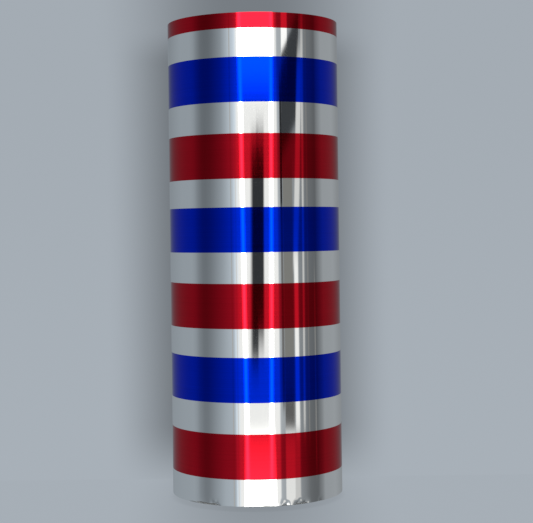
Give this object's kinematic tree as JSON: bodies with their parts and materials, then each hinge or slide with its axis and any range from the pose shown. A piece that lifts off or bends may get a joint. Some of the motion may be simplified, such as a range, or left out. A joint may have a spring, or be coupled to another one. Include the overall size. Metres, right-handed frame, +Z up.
{
  "type": "barber pole light",
  "caption": "Battery barber pole light: a mirror drum with level red and blue bands turns on two bushes round a column lamp, driven by a gear motor.",
  "frame": {"origin": "centre of the foot ring, on the surface that the light stands on", "axes": "+Z up along the drum's axis; -Y is towards the viewer; +X is towards the geared side of the motor"},
  "size_m": [0.1142, 0.1142, 0.3172],
  "materials": {
    "mirror_film": "bright metallised polyester film",
    "red_film": "metallised polyester film, tinted red, glossy",
    "blue_film": "metallised polyester film, tinted blue, glossy",
    "clear_acrylic": "clear extruded acrylic, polished",
    "white_plastic": "moulded ABS, fine texture",
    "black_plastic": "moulded ABS, fine texture",
    "opal_acrylic": "opal acrylic, satin",
    "aluminium": "turned or brushed, clear anodised",
    "steel": "zinc plated",
    "bronze": "sintered or rolled bronze, plain",
    "rubber": "moulded, matt",
    "acetal": "natural acetal, moulded",
    "circuit_board": "glass-epoxy board with green resist",
    "led_board": "white resist with LED packages",
    "cell_label": "shrink label, plain, on a steel can",
    "wire_insulation": "PVC insulated stranded lead"
  },
  "bodies": {
    "stand": {"battery_box": "white_plastic", "diffuser_lower_cap": "white_plastic", "diffuser_upper_cap": "white_plastic", "base_plate": "black_plastic", "switch_housing": "black_plastic", "diffuser_tube": "opal_acrylic", "deck": "aluminium", "column": "aluminium", "led_carrier": "aluminium", "base_screw_1": "steel", "base_screw_2": "steel", "base_screw_3": "steel", "motor_screw_1": "steel", "motor_screw_2": "steel", "standoff_1": "steel", "standoff_2": "steel", "standoff_3": "steel", "gearbox_case": "steel", "motor_can": "steel", "column_nut": "steel", "lamp_collar": "steel", "button_spring": "steel", "top_contact_link": "bronze", "positive_contact": "bronze", "negative_contact": "bronze", "foot_ring": "rubber", "thrust_washer": "acetal", "control_board": "circuit_board", "switch_board": "circuit_board", "led_strip_1": "led_board", "led_strip_2": "led_board", "led_strip_3": "led_board", "cell_1": "cell_label", "cell_2": "cell_label", "cell_3": "cell_label", "cell_4": "cell_label", "battery_lead": "wire_insulation", "motor_lead": "wire_insulation", "lamp_lead": "wire_insulation", "switch_lead": "wire_insulation"},
    "drum": {"drum_tube": "clear_acrylic", "mirror_film": "mirror_film", "red_band_1": "red_film", "red_band_2": "red_film", "red_band_3": "red_film", "red_band_4": "red_film", "blue_band_1": "blue_film", "blue_band_2": "blue_film", "blue_band_3": "blue_film", "lower_hub": "white_plastic", "lower_bush": "bronze", "hub_gear": "acetal", "top_disc": "white_plastic", "upper_bush": "bronze"},
    "drive": {"motor_shaft": "steel", "drive_pinion": "bronze"},
    "button": {"push_button": "aluminium"},
    "battery_cover": {"battery_cover": "black_plastic", "cover_contact_1": "bronze", "cover_contact_2": "bronze"}
  },
  "joints": [
    {"name": "drum_spin", "type": "hinge", "parent": "stand", "child": "drum", "pos_m": [0, 0, 0.1], "axis": [0, 0, 1], "continuous": true},
    {"name": "pinion_spin", "type": "hinge", "parent": "stand", "child": "drive", "pos_m": [0.0325, 0, 0.109], "axis": [0, 0, 1], "continuous": true},
    {"name": "button_press", "type": "slide", "parent": "stand", "child": "button", "axis": [0, 0, -1], "range_m": [0, 0.0015], "stiffness_N_per_m": 400, "springref_m": -0.001, "deforming": ["button_spring"]},
    {"name": "cover_turn", "type": "hinge", "parent": "stand", "child": "battery_cover", "pos_m": [0, 0, 0.006], "axis": [0, 0, 1], "range_deg": [0, 30]}
  ],
  "couplings": [
    {"joint": "pinion_spin", "follows": "drum_spin", "ratio": -3.3333}
  ]
}
